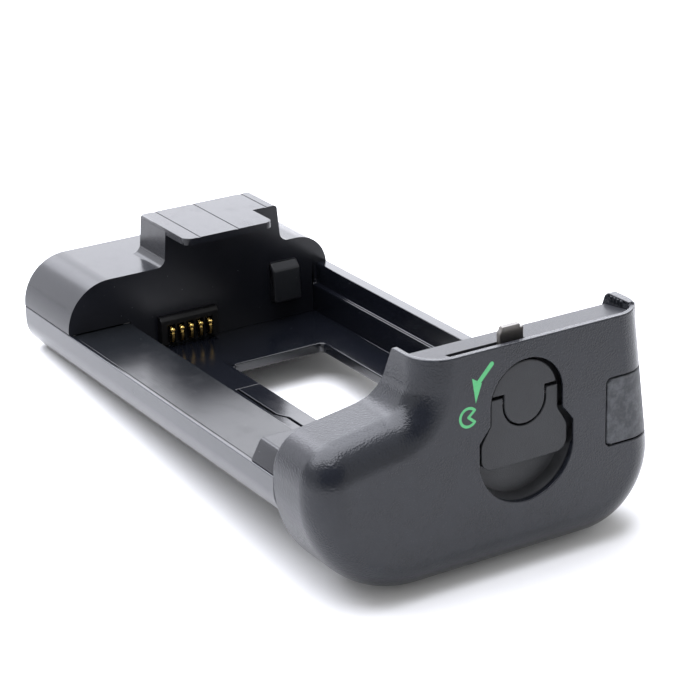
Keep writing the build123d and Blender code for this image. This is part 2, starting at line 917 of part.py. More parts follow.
# End cap plate: closes the shell's back and top, and holds the hook's slot
with BuildPart() as end_cap_plate:
    add(cap_block(inset=shell_wall + seat_gap, front=shell_inside - seat_gap))
    add(plate_lid.intersect(upper_half))
    with BuildSketch(Plane.XZ.offset(-reach / 2)):
        with BuildLine():
            Polyline(
                (cap_back, cap_bottom - overrun),
                (cap_back + back_thickness, cap_bottom - overrun),
                (cap_back + back_thickness, back_lean_start - plate_thickness),
                (cap_back + back_thickness + back_lean, plate_under - plate_fall),
                (cap_face, plate_under),
                (cap_face, plate_top),
                (cap_back + back_lean, plate_top - plate_fall),
                (cap_back, back_lean_start),
                close=True,
            )
        make_face()
    extrude(amount=reach, mode=Mode.INTERSECT)
    bar(
        (hook_plane - moving_gap, hook_plane - moving_gap + slot_width),
        (slot_near, slot_far),
        (plate_under - overrun, plate_top + overrun),
        mode=Mode.SUBTRACT,
    )
    bar(
        (cap_back - overrun, cap_back + back_thickness + overrun / 5),
        (bay_far - cable_hole_width - wall, bay_far - wall),
        (floor_thickness + wall, floor_thickness + wall + cable_hole_height),
        mode=Mode.SUBTRACT,
    )
    for spot in cap_screw_spots:
        rod(
            Plane((cap_back - overrun, *spot), z_dir=(1, 0, 0)),
            screw_radius + seat_gap,
            2 * overrun,
            mode=Mode.SUBTRACT,
        )
        rod(
            Plane((cap_back - overrun, *spot), z_dir=(1, 0, 0)),
            screw_head_radius + seat_gap,
            overrun + screw_head_height,
            mode=Mode.SUBTRACT,
        )
    for spot in tray_screw_spots:
        rod(
            Plane((cap_back - overrun, *spot), z_dir=(1, 0, 0)),
            screw_radius + seat_gap,
            2 * overrun,
            mode=Mode.SUBTRACT,
        )
end_cap_plate.part.label = "end_cap_plate"

# Knob: a disc with a tongue that fills the handle's fork
with BuildPart() as knob_disc:
    with BuildSketch(facing_knob(knob_inner)):
        Circle(knob_radius)
        with Locations((0, knob_step - knob_radius)):
            Rectangle(2 * knob_radius, 2 * knob_radius, mode=Mode.SUBTRACT)
        with Locations((0, -lobe_low)):
            Circle(lobe_radius)
        with Locations((0, (knob_step - lobe_low) / 2)):
            Rectangle(2 * lobe_radius, knob_step + lobe_low)
    extrude(amount=knob_depth)
    rod(facing_knob(knob_inner), shaft_radius, shaft_socket, mode=Mode.SUBTRACT)
    hinge_depth = knob_outer - handle_thickness / 2
    rod(
        Plane((hinge_depth, knob_across - reach / 2, knob_height), z_dir=(0, 1, 0)),
        handle_pin_radius,
        reach,
        mode=Mode.SUBTRACT,
    )
    chamfer_ring = knob_disc.faces().sort_by(Axis.X)[-1].edges()
    chamfer(chamfer_ring, edge_soft / 2)
knob_disc.part.label = "knob_disc"

# Handle: a fork and a finger plate, folded down beside the knob's tongue
with BuildPart() as knob_handle:
    with BuildSketch(facing_knob(knob_outer - handle_thickness)):
        with BuildLine():
            FilletPolyline(
                (-knob_radius, ear_top),
                (-knob_radius, -ear_low),
                (-handle_half, -handle_flare_low),
                (-handle_half, -handle_reach),
                (handle_half, -handle_reach),
                (handle_half, -handle_flare_low),
                (knob_radius, -ear_low),
                (knob_radius, ear_top),
                radius=(
                    0,
                    edge_soft,
                    handle_corner,
                    handle_corner,
                    handle_corner,
                    handle_corner,
                    edge_soft,
                    0,
                ),
                close=True,
            )
        make_face()
        with Locations((0, -lobe_low)):
            Circle(lobe_radius + moving_gap, mode=Mode.SUBTRACT)
        with Locations((0, (ear_top + overrun - lobe_low) / 2)):
            Rectangle(2 * (lobe_radius + moving_gap), ear_top + overrun + lobe_low, mode=Mode.SUBTRACT)
    extrude(amount=handle_thickness)
    rod(
        Plane((hinge_depth, knob_across - reach / 2, knob_height), z_dir=(0, 1, 0)),
        handle_pin_radius + running_gap,
        reach,
        mode=Mode.SUBTRACT,
    )
knob_handle.part.label = "knob_handle"

# Handle pins: one in each ear, held by the knob
with BuildPart() as handle_pins:
    for side in (-1, 1):
        rod(
            Plane((hinge_depth, knob_across + side * handle_pin_inner, knob_height), z_dir=(0, side, 0)),
            handle_pin_radius,
            handle_pin_outer - handle_pin_inner,
        )
handle_pins.part.label = "handle_pins"

# Knob shaft: runs through the housing to the clip
with BuildPart() as knob_shaft:
    rod(facing_knob(shaft_end), shaft_radius, knob_inner + shaft_socket - shaft_end)
    clip_place = housing_back - housing_boss_length - washer_thickness - clip_thickness - seat_gap
    with BuildSketch(facing_knob(clip_place - seat_gap)):
        Circle(2 * shaft_radius)
        Circle(shaft_radius - groove_depth, mode=Mode.SUBTRACT)
    extrude(amount=clip_thickness + 2 * seat_gap, mode=Mode.SUBTRACT)
    bar(
        (hook_plane - seat_gap, knob_inner),
        (knob_across + shaft_flat, knob_across + 2 * shaft_radius),
        (knob_height - 2 * shaft_radius, knob_height + 2 * shaft_radius),
        mode=Mode.SUBTRACT,
    )
knob_shaft.part.label = "knob_shaft"

# Latch hook: a stamped arm on the shaft, which stands out of the slot while the lock is shut
with BuildPart() as latch_hook:
    with BuildSketch(facing_knob(hook_plane)):
        Circle(hook_hub_radius)
        with BuildLine():
            FilletPolyline(
                (hook_near, 0),
                (hook_far, 0),
                (hook_far, hook_reach - hook_corner),
                (hook_far - hook_corner, hook_reach - hook_corner),
                (hook_far - hook_corner, hook_reach),
                (hook_near + hook_corner, hook_reach),
                (hook_near, hook_reach - 2 * hook_corner),
                radius=0,
                close=True,
            )
        make_face()
        Circle(shaft_radius + seat_gap, mode=Mode.SUBTRACT)
        with Locations((shaft_flat + seat_gap + hook_corner, 0)):
            Rectangle(2 * hook_corner, 2 * shaft_radius)
    extrude(amount=hook_thickness)
latch_hook.part.label = "latch_hook"

# Spring washer and clip that hold the shaft in the housing
with BuildPart() as spring_washer:
    with BuildSketch(facing_knob(housing_back - housing_boss_length - washer_thickness)):
        Circle(washer_radius)
        Circle(shaft_radius + running_gap, mode=Mode.SUBTRACT)
    extrude(amount=washer_thickness)
spring_washer.part.label = "spring_washer"

with BuildPart() as shaft_clip:
    with BuildSketch(facing_knob(clip_place)):
        Circle(clip_radius)
        Circle(shaft_radius - groove_depth, mode=Mode.SUBTRACT)
        with Locations((0, -clip_radius)):
            Rectangle(2 * (shaft_radius - groove_depth), 2 * clip_radius, mode=Mode.SUBTRACT)
    extrude(amount=clip_thickness)
shaft_clip.part.label = "shaft_clip"

# Latch housing: the pan behind the knob, with the shaft's bearing and the finger scoop
with BuildPart() as latch_housing:
    with BuildSketch(facing_knob(housing_back)):
        Circle(housing_radius + housing_wall)
        make_face(window_outline(grow=housing_wall))
    extrude(amount=shell_inside - housing_back - seat_gap)
    rod(facing_knob(housing_back), housing_boss_radius, -housing_boss_length)
    rod(facing_knob(housing_face), housing_radius, reach, mode=Mode.SUBTRACT)
    with BuildSketch(facing_knob(housing_face)):
        Circle(housing_radius)
        with Locations((0, housing_radius - scoop_floor_low)):
            Rectangle(2 * housing_radius, 2 * housing_radius, mode=Mode.SUBTRACT)
    extrude(amount=scoop_floor - housing_face)
    with BuildSketch(facing_knob(shell_inside - seat_gap)):
        make_face(window_outline())
    extrude(amount=scoop_floor - shell_inside + seat_gap, taper=scoop_slope, mode=Mode.SUBTRACT)
    rod(facing_knob(housing_back - reach / 2), shaft_radius + running_gap, reach, mode=Mode.SUBTRACT)
    bar(
        (housing_back - reach, housing_back + reach),
        (knob_across - reach, knob_across + reach),
        (housing_top, housing_top + reach),
        mode=Mode.SUBTRACT,
    )
latch_housing.part.label = "latch_housing"

# Cap screws: hold the plate and the shell together, driven from the back
with BuildPart() as cap_screws:
    for spot in cap_screw_spots:
        rod(Plane((cap_back, *spot), z_dir=(1, 0, 0)), screw_head_radius, screw_head_height)
        rod(
            Plane((cap_back + screw_head_height, *spot), z_dir=(1, 0, 0)),
            screw_radius - seat_gap,
            screw_length,
        )
        with Locations((cap_back, *spot)):
            Box(screw_slot_depth, screw_slot_width, 2 * screw_head_radius, mode=Mode.SUBTRACT)
            Box(screw_slot_depth, 2 * screw_head_radius, screw_slot_width, mode=Mode.SUBTRACT)
cap_screws.part.label = "cap_screws"

# Tray screws: hold the cap's plate to the tray, driven from inside the cap
with BuildPart() as tray_screws:
    for spot in tray_screw_spots:
        rod(
            Plane((cap_back + back_thickness, *spot), z_dir=(1, 0, 0)),
            screw_head_radius,
            screw_head_height,
        )
        rod(
            Plane((cap_back + back_thickness, *spot), z_dir=(-1, 0, 0)),
            screw_radius - seat_gap,
            screw_length,
        )
tray_screws.part.label = "tray_screws"

pieces = [
    tray_base,
    ledge_cover,
    contact_hood,
    guide_wedge,
    connector_block,
    battery_contacts,
    contact_board,
    wiring_strip,
    terminal_block,
    grip_terminals,
    hood_screws,
    battery_latch,
    end_block,
    end_cap_shell,
    cable_flap,
    end_cap_plate,
    knob_disc,
    knob_handle,
    handle_pins,
    knob_shaft,
    latch_hook,
    spring_washer,
    shaft_clip,
    latch_housing,
    cap_screws,
    tray_screws,
]
os.makedirs("parts", exist_ok=True)
for piece in pieces:
    export_step(piece.part, f"parts/{piece.part.label}.step")
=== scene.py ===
from math import atan2, cos, hypot, radians, sin

import bmesh
import bpy
from mathutils import Matrix, Vector


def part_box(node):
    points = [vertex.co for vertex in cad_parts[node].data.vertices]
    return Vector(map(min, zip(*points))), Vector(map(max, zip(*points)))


# The slide-in battery tray of a camera grip, dressed in its finishes. Metres.

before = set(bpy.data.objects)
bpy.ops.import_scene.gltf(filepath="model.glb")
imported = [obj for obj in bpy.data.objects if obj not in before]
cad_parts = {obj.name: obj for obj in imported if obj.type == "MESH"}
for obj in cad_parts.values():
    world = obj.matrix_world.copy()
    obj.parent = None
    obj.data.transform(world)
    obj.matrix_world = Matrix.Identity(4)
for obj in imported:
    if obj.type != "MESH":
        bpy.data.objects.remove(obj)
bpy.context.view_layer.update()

MM = 0.001
WHITE = (1.0, 1.0, 1.0, 1.0)

# Camera, fitted to the tray's edges. The sensor's width is in millimetres.
FRAME_PIXELS = 700
SENSOR = 36.0
FOCAL_PIXELS = 2428.81
NEAREST_SEEN = 10 * MM
VIEW_AZIMUTH = radians(58.8)
VIEW_ELEVATION = radians(21.76)
VIEW_ROLL = radians(-1.46)
VIEW_TARGET = Vector((36.31, 11.27, 8.8)) * MM
VIEW_DISTANCE = 445.4 * MM

# Light. The back panel and the dark card show only in reflections.
SKY_FILL = 0.7
LIGHT_TINT = (0.90, 0.915, 1.0)
TOP_PANEL_SIZE = (1.0, 1.0)
TOP_PANEL_PLACE = Vector((-0.15, -0.12, 0.74))
TOP_PANEL_POWER = 21.0
PANEL_DISTANCE = 0.9
BACK_PANEL_SIZE = (1.3, 0.75)
BACK_PANEL_TURN = radians(180.0)
BACK_PANEL_LIFT = radians(24.0)
BACK_PANEL_POWER = 10.0
LEFT_PANEL_SIZE = (0.8, 0.5)
LEFT_PANEL_TURN = radians(-132.0)
LEFT_PANEL_LIFT = radians(18.0)
LEFT_PANEL_POWER = 2.4
CARD_DISTANCE = 0.75
CARD_SIZE = (1.0, 0.7)
CARD_LIFT = radians(24.0)
CARD_TONE = (0.06, 0.06, 0.07, 1.0)
CARD_DARK_SHARE = 0.8
CARD_GRAIN = 4 * MM
CARD_ROUGHNESS = 0.9

# Table, which goes over to plain white between two distances from the part
TABLE_SIZE = 3.0
TABLE_SQUARES = 8
TABLE_TONE = (0.9, 0.9, 0.9, 1.0)
TABLE_DARK_SHARE = 0.995
TABLE_GRAIN = 60 * MM
TABLE_ROUGHNESS = 0.9
TABLE_NEAR = 0.30
TABLE_FAR = 0.55

# Softened edges
EDGE_STEPS = 3
EDGE_ANGLE = radians(34.0)
WELD_DISTANCE = 0.0005 * MM
FLAT_ANGLE = radians(0.4)

# Glossy mouldings: long flow marks, a fine grain, rubbed places and dust specks
FLOW_GRAIN = 9 * MM
FLOW_STRETCH = (0.35, 1.0, 1.0)
FLOW_HEIGHT_SHARE = 0.6
FINE_GRAIN = 0.35 * MM
FINE_HEIGHT_SHARE = 0.4
FINE_DULLING = 0.03
GLOSS_DEPTH = 0.004 * MM
RUB_GRAIN = 4 * MM
RUB_RANGE = (0.45, 0.75)
RUB_DULLING = 0.06
SPECK_SPACING = 1.9 * MM
SPECK_RANGE = (0.045, 0.02)
SPECK_TONE = (0.25, 0.25, 0.25, 1.0)
SPECK_TONE_SHARE = 0.35
SPECK_DULLING = 0.25

# The tray and its latch, and the tray's near side with a painted sheen: a little lighter in colour and
# duller than the rest
TRAY_DARK = (0.0035, 0.004, 0.006, 1.0)
TRAY_LIGHT = (0.005, 0.006, 0.009, 1.0)
TRAY_ROUGHNESS = 0.15
TRAY_GLOSS = 1.52
PAINTED_SHEEN_START = -27.9 * MM
PAINTED_SHEEN_END = -28.1 * MM
PAINTED_SHEEN_TONE = (0.028, 0.030, 0.035, 1.0)
SIDE_DULLING = 0.05

# Satin and matte mouldings: pebbles with pits among them, and slow clouds of tone
PIT_GRAIN_SHARE = 0.7
PIT_HEIGHT_SHARE = 0.5
PEBBLE_SHINE = 0.1
CLOUD_GRAIN = 7 * MM
CLOUD_RANGE = (0.3, 0.7)
CLOUD_DULLING = 0.08

# The flap's mottled rubber
RUBBER_DARK = (0.036, 0.038, 0.043, 1.0)
RUBBER_LIGHT = (0.072, 0.076, 0.083, 1.0)
BLOTCH_GRAIN = 1.6 * MM
BLOTCH_RANGE = (0.38, 0.66)

# Gold. The battery contacts have painted shade, a dull dark gold, at their feet, and are bright at
# their heads.
GOLD_BRIGHT = (0.95, 0.68, 0.22, 1.0)
GOLD_WORN = (0.83, 0.55, 0.16, 1.0)
GOLD_PAINTED_SHADE = (0.30, 0.20, 0.07, 1.0)
GOLD_GRAIN = 0.5 * MM
GOLD_DEPTH = 0.003 * MM
GOLD_ROUGHNESS = 0.2
GOLD_WEAR_DULLING = 0.16
PAINTED_SHADE_FOOT = 1.5 * MM
BRIGHT_HEAD = 0.8 * MM
blade_foot, blade_head = (corner[2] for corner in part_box("battery_contacts"))
BLADE_SHADE_LEVELS = (blade_foot + PAINTED_SHADE_FOOT, blade_head - BRIGHT_HEAD)
BELOW_THE_PART = (-1.0, -0.5)

# Steel with drawn lines
LINE_GRAIN = 0.12 * MM
LINE_STRETCH = (0.08, 1.0, 1.0)
LINE_DEPTH = 0.004 * MM
LINE_DULLING = 0.15
STEEL_CLOUD_GRAIN = 2 * MM
STEEL_DARK_SHARE = 0.7

# Boards and strips with a faint weave
WEAVE_GRAIN = 0.5 * MM
WEAVE_DEPTH = 0.01 * MM
BOARD_ROUGHNESS = 0.35
WEAVE_DULLING = 0.1

# Printed marks on the cap's face, in Y and Z: an arrow, and an open ring with two short strokes
CAP_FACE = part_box("end_cap_shell")[1][0]
STROKE_TOP = (5.2 * MM, 25.5 * MM)
STROKE_LOW = (2.5 * MM, 22.7 * MM)
STROKE_HALF = 0.42 * MM
ARROW_LEFT = (1.35 * MM, 23.8 * MM)
ARROW_RIGHT = (3.25 * MM, 22.6 * MM)
ARROW_TIP = (2.05 * MM, 19.3 * MM)
RING_CENTRE = (0.6 * MM, 17.15 * MM)
RING_RADIUS = 1.6 * MM
RING_HALF = 0.24 * MM
RING_GAP_LOW = radians(-40.0)
RING_GAP_TOP = radians(40.0)
PRINT_SOFT = 0.05 * MM
PRINT_DEPTH = 0.05 * MM
PRINT_GREEN = (0.075, 0.40, 0.15, 1.0)

# Sockets of a node that mixes colours, by place
MIX_SHARE = 0
MIX_FIRST = 6
MIX_SECOND = 7
MIX_RESULT = 2


class Field:
    """A value, colour or vector among nodes, so that shader maths reads as an expression."""

    def __init__(self, nodes, socket):
        self.nodes = nodes
        self.socket = socket

    def math(self, operation, *others):
        return self.nodes.node("ShaderNodeMath", {"operation": operation}, [self, *others])

    def __add__(self, other):
        return self.math("ADD", other)

    __radd__ = __add__

    def __sub__(self, other):
        return self.math("SUBTRACT", other)

    def __rsub__(self, other):
        return self.nodes.node("ShaderNodeMath", {"operation": "SUBTRACT"}, [other, self])

    def __mul__(self, other):
        return self.math("MULTIPLY", other)

    __rmul__ = __mul__

    def __neg__(self):
        return self.math("MULTIPLY", -1.0)

    def at_least(self, other):
        return self.math("MAXIMUM", other)

    def at_most(self, other):
        return self.math("MINIMUM", other)

    def size(self):
        return self.math("ABSOLUTE")

    def root(self):
        return self.math("SQRT")

    def ramp(self, low, high):
        """A smooth rise from 0 to 1 as the value goes from low to high."""
        settings = {"interpolation_type": "SMOOTHSTEP"}
        return self.nodes.node("ShaderNodeMapRange", settings, [self, low, high])


class Nodes:
    """The nodes of a material or a world, with one way to add one."""

    def __init__(self, tree, output):
        self.tree = tree
        tree.nodes.clear()
        self.surface = tree.nodes.new(output).inputs["Surface"]

    def node(self, kind, settings=None, inputs=(), output=0):
        """Adds a node: its settings first, then its sockets by place or by name."""
        made = self.tree.nodes.new(kind)
        for key, value in (settings or {}).items():
            setattr(made, key, value)
        pairs = inputs.items() if isinstance(inputs, dict) else enumerate(inputs)
        for place, value in pairs:
            self.feed(made.inputs[place], value)
        return Field(self, made.outputs[output])

    def feed(self, socket, value):
        """Gives a socket a number or colour, or links it to a field."""
        if isinstance(value, Field):
            self.tree.links.new(value.socket, socket)
        else:
            socket.default_value = value

    def rays(self, kind):
        """1 for rays of one kind, such as Camera, and 0 for all others."""
        return self.node("ShaderNodeLightPath", output=f"Is {kind} Ray")

    def seen(self):
        """1 for what the eye sees, also in gloss and through glass, and 0 for rays that only light."""
        return self.rays("Camera").at_least(self.rays("Glossy")).at_least(self.rays("Transmission"))


class Finish(Nodes):
    """A material with one shader, whose sockets are set by name."""

    def __init__(self, name):
        self.material = bpy.data.materials.new(name)
        self.material.use_nodes = True
        super().__init__(self.material.node_tree, "ShaderNodeOutputMaterial")
        self.shader = self.tree.nodes.new("ShaderNodeBsdfPrincipled")
        self.feed(self.surface, self.plain_surface())

    def plain_surface(self):
        return Field(self, self.shader.outputs["BSDF"])

    def set(self, **inputs):
        """Sets the shader's own sockets, with names written with low lines."""
        for name, value in inputs.items():
            self.feed(self.shader.inputs[name.replace("_", " ")], value)

    def so_far(self, name):
        """What feeds one of the shader's sockets at this point."""
        return Field(self, self.shader.inputs[name].links[0].from_socket)

    def place(self):
        """Where a point lies in the part's frame."""
        return self.node("ShaderNodeTexCoord", output="Object")

    def axes(self):
        """The part frame's three coordinates of a point."""
        split = self.node("ShaderNodeSeparateXYZ", inputs=[self.place()])
        return [Field(self, socket) for socket in split.socket.node.outputs]

    def noise(self, grain, detail=2.0, roughness=0.5, stretch=None):
        """Noise from 0 to 1 whose features are about one grain across."""
        where = self.place()
        if stretch:
            where = self.node("ShaderNodeMapping", inputs={"Vector": where, "Scale": stretch})
        inputs = {"Vector": where, "Scale": 1.0 / grain, "Detail": detail, "Roughness": roughness}
        return self.node("ShaderNodeTexNoise", inputs=inputs)

    def cells(self, grain):
        """Distance to the nearest cell centre, for cells about one grain across."""
        return self.node("ShaderNodeTexVoronoi", inputs={"Vector": self.place(), "Scale": 1.0 / grain})

    def blend(self, share, first, second):
        """One colour going over into another."""
        inputs = {MIX_SHARE: share, MIX_FIRST: first, MIX_SECOND: second}
        return self.node("ShaderNodeMix", {"data_type": "RGBA"}, inputs, MIX_RESULT)

    def bump(self, height, depth):
        self.set(Normal=self.node("ShaderNodeBump", inputs={"Height": height, "Distance": depth}))


def tone(red, green, blue):
    return (red, green, blue, 1.0)


def darker(colour, share):
    """A colour with its channels brought down to a share of what they are."""
    return tone(*(channel * share for channel in colour[:3]))


def moulded_gloss(name, dark, light, roughness, gloss=1.36):
    """Glossy moulded black: faint flow marks, dust specks and a slow change of gloss."""
    finish = Finish(name)
    flow = finish.noise(FLOW_GRAIN, detail=3.0, stretch=FLOW_STRETCH)
    fine = finish.noise(FINE_GRAIN)
    specks = finish.cells(SPECK_SPACING).ramp(*SPECK_RANGE)
    rubbed = finish.noise(RUB_GRAIN, detail=5.0, roughness=0.65).ramp(*RUB_RANGE)
    finish.set(
        Base_Color=finish.blend(specks * SPECK_TONE_SHARE, finish.blend(flow, dark, light), SPECK_TONE),
        Roughness=roughness + RUB_DULLING * rubbed + FINE_DULLING * fine + SPECK_DULLING * specks,
        IOR=gloss,
    )
    finish.bump(flow * FLOW_HEIGHT_SHARE + fine * FINE_HEIGHT_SHARE, GLOSS_DEPTH)
    return finish


def tray_finish(name):
    """Glossy black, with a painted sheen on the near side: a little lighter in colour there, and
    duller.
    """
    finish = moulded_gloss(name, TRAY_DARK, TRAY_LIGHT, TRAY_ROUGHNESS, TRAY_GLOSS)
    # Painted sheen: a lighter colour on the near side stands in for the bright table that this side
    # reflects.
    side = finish.axes()[1].ramp(PAINTED_SHEEN_START, PAINTED_SHEEN_END)
    finish.set(
        Base_Color=finish.blend(side, finish.so_far("Base Color"), PAINTED_SHEEN_TONE),
        Roughness=finish.so_far("Roughness") + SIDE_DULLING * side,
    )
    return finish


def soft_touch(name, dark, light, roughness, grain=0.22 * MM, depth=0.02 * MM, gloss=1.34):
    """Satin or matte moulding with a fine leathery grain."""
    finish = Finish(name)
    pebbles = finish.cells(grain)
    pits = finish.noise(grain * PIT_GRAIN_SHARE, detail=3.0)
    cloud = finish.noise(CLOUD_GRAIN, detail=4.0, roughness=0.6)
    finish.set(
        Base_Color=finish.blend(cloud.ramp(*CLOUD_RANGE), dark, light),
        Roughness=roughness + CLOUD_DULLING * cloud - PEBBLE_SHINE * pebbles,
        IOR=gloss,
    )
    finish.bump(pebbles + PIT_HEIGHT_SHARE * pits, depth)
    return finish


def rubber_patch(name):
    """Mottled dark rubber, lighter and duller than the cap."""
    finish = soft_touch(
        name, RUBBER_DARK, RUBBER_LIGHT, roughness=0.5, grain=0.45 * MM, depth=0.012 * MM
    )
    blotches = finish.noise(BLOTCH_GRAIN, detail=6.0, roughness=0.7).ramp(*BLOTCH_RANGE)
    finish.set(Base_Color=finish.blend(blotches, RUBBER_DARK, RUBBER_LIGHT))
    return finish


def gold_plate(name, levels):
    """Gold plating, with painted shade (a dull dark gold) below the lower of two levels, and bright
    above the upper one.
    """
    finish = Finish(name)
    wear = finish.noise(GOLD_GRAIN, detail=4.0)
    gold = finish.blend(wear, GOLD_BRIGHT, GOLD_WORN)
    # Painted shade: the colour goes over to dark gold below the lower level.
    finish.set(
        Base_Color=finish.blend(finish.axes()[2].ramp(*levels), GOLD_PAINTED_SHADE, gold),
        Metallic=1.0,
        Roughness=GOLD_ROUGHNESS + GOLD_WEAR_DULLING * wear,
    )
    finish.bump(wear, GOLD_DEPTH)
    return finish


def steel(name, tint, roughness):
    """Stamped or turned steel with fine drawn lines."""
    finish = Finish(name)
    lines = finish.noise(LINE_GRAIN, detail=3.0, stretch=LINE_STRETCH)
    cloud = finish.noise(STEEL_CLOUD_GRAIN, detail=4.0)
    finish.set(
        Base_Color=finish.blend(cloud, darker(tint, STEEL_DARK_SHARE), tint),
        Metallic=1.0,
        Roughness=roughness + LINE_DULLING * lines,
    )
    finish.bump(lines, LINE_DEPTH)
    return finish


def plain_board(name, dark, light):
    """A board or strip with a faint weave."""
    finish = Finish(name)
    weave = finish.noise(WEAVE_GRAIN)
    finish.set(
        Base_Color=finish.blend(weave, dark, light),
        Roughness=BOARD_ROUGHNESS + WEAVE_DULLING * weave,
    )
    finish.bump(weave, WEAVE_DEPTH)
    return finish


def run_between(start, end):
    """How far it is from one point of a plane to another, and the two parts of the way there."""
    length = hypot(end[0] - start[0], end[1] - start[1])
    return length, (end[0] - start[0]) / length, (end[1] - start[1]) / length


def stroke_distance(across, up, start, end):
    """Distance in a plane from a point to a straight stroke."""
    length, right, rise = run_between(start, end)
    ahead = (across - start[0]) * right + (up - start[1]) * rise
    beside = (across - start[0]) * -rise + (up - start[1]) * right
    past = (-ahead).at_least(ahead - length).at_least(0.0)
    return (past * past + beside * beside).root()


def triangle_distance(across, up, corners):
    """How far a point is outside a triangle with counter-clockwise corners, negative within it."""
    outside = []
    for start, end in zip(corners, corners[1:] + corners[:1]):
        _, right, rise = run_between(start, end)
        outside.append((across - start[0]) * rise - (up - start[1]) * right)
    return outside[0].at_least(outside[1]).at_least(outside[2])


def open_ring(across, up):
    """How far a point is outside a ring with a gap, whose two ends are joined to its centre."""
    beside = across - RING_CENTRE[0]
    above = up - RING_CENTRE[1]
    ring = ((beside * beside + above * above).root() - RING_RADIUS).size() - RING_HALF
    over_gap = beside * -sin(RING_GAP_TOP) + above * cos(RING_GAP_TOP)
    under_gap = beside * sin(RING_GAP_LOW) - above * cos(RING_GAP_LOW)
    mark = ring.at_least(-over_gap.at_least(under_gap))
    for turn in (RING_GAP_LOW, RING_GAP_TOP):
        end = (RING_CENTRE[0] + RING_RADIUS * cos(turn), RING_CENTRE[1] + RING_RADIUS * sin(turn))
        mark = mark.at_most(stroke_distance(across, up, RING_CENTRE, end) - RING_HALF)
    return mark


def cap_finish(name):
    """The cap's soft-touch grey with two plain green marks beside the knob."""
    finish = soft_touch(
        name,
        dark=tone(0.0090, 0.0102, 0.0140),
        light=tone(0.0120, 0.0137, 0.0185),
        roughness=0.24,
        grain=0.33 * MM,
        depth=0.033 * MM,
        gloss=1.39,
    )
    out, across, up = finish.axes()
    shaft = stroke_distance(across, up, STROKE_TOP, STROKE_LOW) - STROKE_HALF
    head = triangle_distance(across, up, [ARROW_LEFT, ARROW_TIP, ARROW_RIGHT])
    marks = shaft.at_most(head).at_most(open_ring(across, up))
    on_face = out.ramp(CAP_FACE - 2 * PRINT_DEPTH, CAP_FACE - PRINT_DEPTH)
    printed = marks.ramp(PRINT_SOFT, -PRINT_SOFT) * on_face
    finish.set(Base_Color=finish.blend(printed, finish.so_far("Base Color"), PRINT_GREEN))
    return finish


def table_finish(name):
    """A pale table that keeps the object's shadow and, further out, shows as plain white."""
    finish = Finish(name)
    finish.set(
        Base_Color=finish.blend(
            finish.noise(TABLE_GRAIN), TABLE_TONE, darker(TABLE_TONE, TABLE_DARK_SHARE)
        ),
        Roughness=TABLE_ROUGHNESS,
        Specular_IOR_Level=0.0,
    )
    out, across, _ = finish.axes()
    reach = (out * out + across * across).root().ramp(TABLE_NEAR, TABLE_FAR)
    white = finish.node("ShaderNodeEmission", inputs={"Color": WHITE})
    shown = [reach * finish.seen(), finish.plain_surface(), white]
    finish.feed(finish.surface, finish.node("ShaderNodeMixShader", inputs=shown))
    return finish


def card_finish(name):
    """Dark felt."""
    finish = Finish(name)
    finish.set(
        Base_Color=finish.blend(
            finish.noise(CARD_GRAIN), CARD_TONE, darker(CARD_TONE, CARD_DARK_SHARE)
        ),
        Roughness=CARD_ROUGHNESS,
    )
    return finish


FINISHES = {
    "tray": tray_finish("tray_gloss"),
    "latch": moulded_gloss("latch_gloss", TRAY_DARK, TRAY_LIGHT, TRAY_ROUGHNESS, TRAY_GLOSS),
    "cover": moulded_gloss(
        "cover_gloss",
        dark=tone(0.005, 0.006, 0.007),
        light=tone(0.008, 0.009, 0.011),
        roughness=0.2,
    ),
    "hood": moulded_gloss(
        "hood_gloss",
        dark=tone(0.007, 0.0075, 0.010),
        light=tone(0.010, 0.011, 0.015),
        roughness=0.2,
        gloss=1.35,
    ),
    "wedge": moulded_gloss(
        "wedge_satin",
        dark=tone(0.010, 0.011, 0.013),
        light=tone(0.014, 0.015, 0.018),
        roughness=0.32,
    ),
    "connector": soft_touch(
        "connector_satin",
        dark=tone(0.003, 0.003, 0.0035),
        light=tone(0.005, 0.005, 0.0055),
        roughness=0.45,
    ),
    "blade": gold_plate("blade_gold", BLADE_SHADE_LEVELS),
    "gold": gold_plate("gold_plate", BELOW_THE_PART),
    "board": plain_board("board_green", dark=tone(0.01, 0.06, 0.03), light=tone(0.015, 0.09, 0.04)),
    "strip": plain_board("strip_amber", dark=tone(0.3, 0.12, 0.02), light=tone(0.4, 0.18, 0.03)),
    "screw": steel("screw_black", tone(0.09, 0.09, 0.095), roughness=0.35),
    "cap": cap_finish("cap_soft_touch"),
    "flap": rubber_patch("flap_rubber"),
    "plate": soft_touch(
        "plate_satin",
        dark=tone(0.020, 0.021, 0.024),
        light=tone(0.026, 0.027, 0.030),
        roughness=0.4,
        gloss=1.25,
    ),
    "knob": soft_touch(
        "knob_satin",
        dark=tone(0.0140, 0.0148, 0.017),
        light=tone(0.018, 0.0193, 0.022),
        roughness=0.34,
        gloss=1.37,
    ),
    "steel": steel("bright_steel", tone(0.62, 0.62, 0.62), roughness=0.2),
    "hook": steel("hook_steel", tone(0.20, 0.19, 0.18), roughness=0.3),
    "housing": soft_touch(
        "housing_satin",
        dark=tone(0.026, 0.027, 0.029),
        light=tone(0.034, 0.035, 0.038),
        roughness=0.45,
    ),
}

NODE_FINISH = {
    "tray_base": "tray", "ledge_cover": "cover", "contact_hood": "hood", "guide_wedge": "wedge",
    "connector_block": "connector", "battery_contacts": "blade", "contact_board": "board",
    "wiring_strip": "strip", "terminal_block": "connector", "grip_terminals": "gold",
    "hood_screws": "screw", "battery_latch": "latch", "end_block": "hood", "end_cap_shell": "cap",
    "cable_flap": "flap", "end_cap_plate": "plate", "knob_disc": "knob", "knob_handle": "knob",
    "handle_pins": "steel", "knob_shaft": "steel", "latch_hook": "hook", "spring_washer": "steel",
    "shaft_clip": "steel", "latch_housing": "housing", "cap_screws": "screw", "tray_screws": "screw",
}

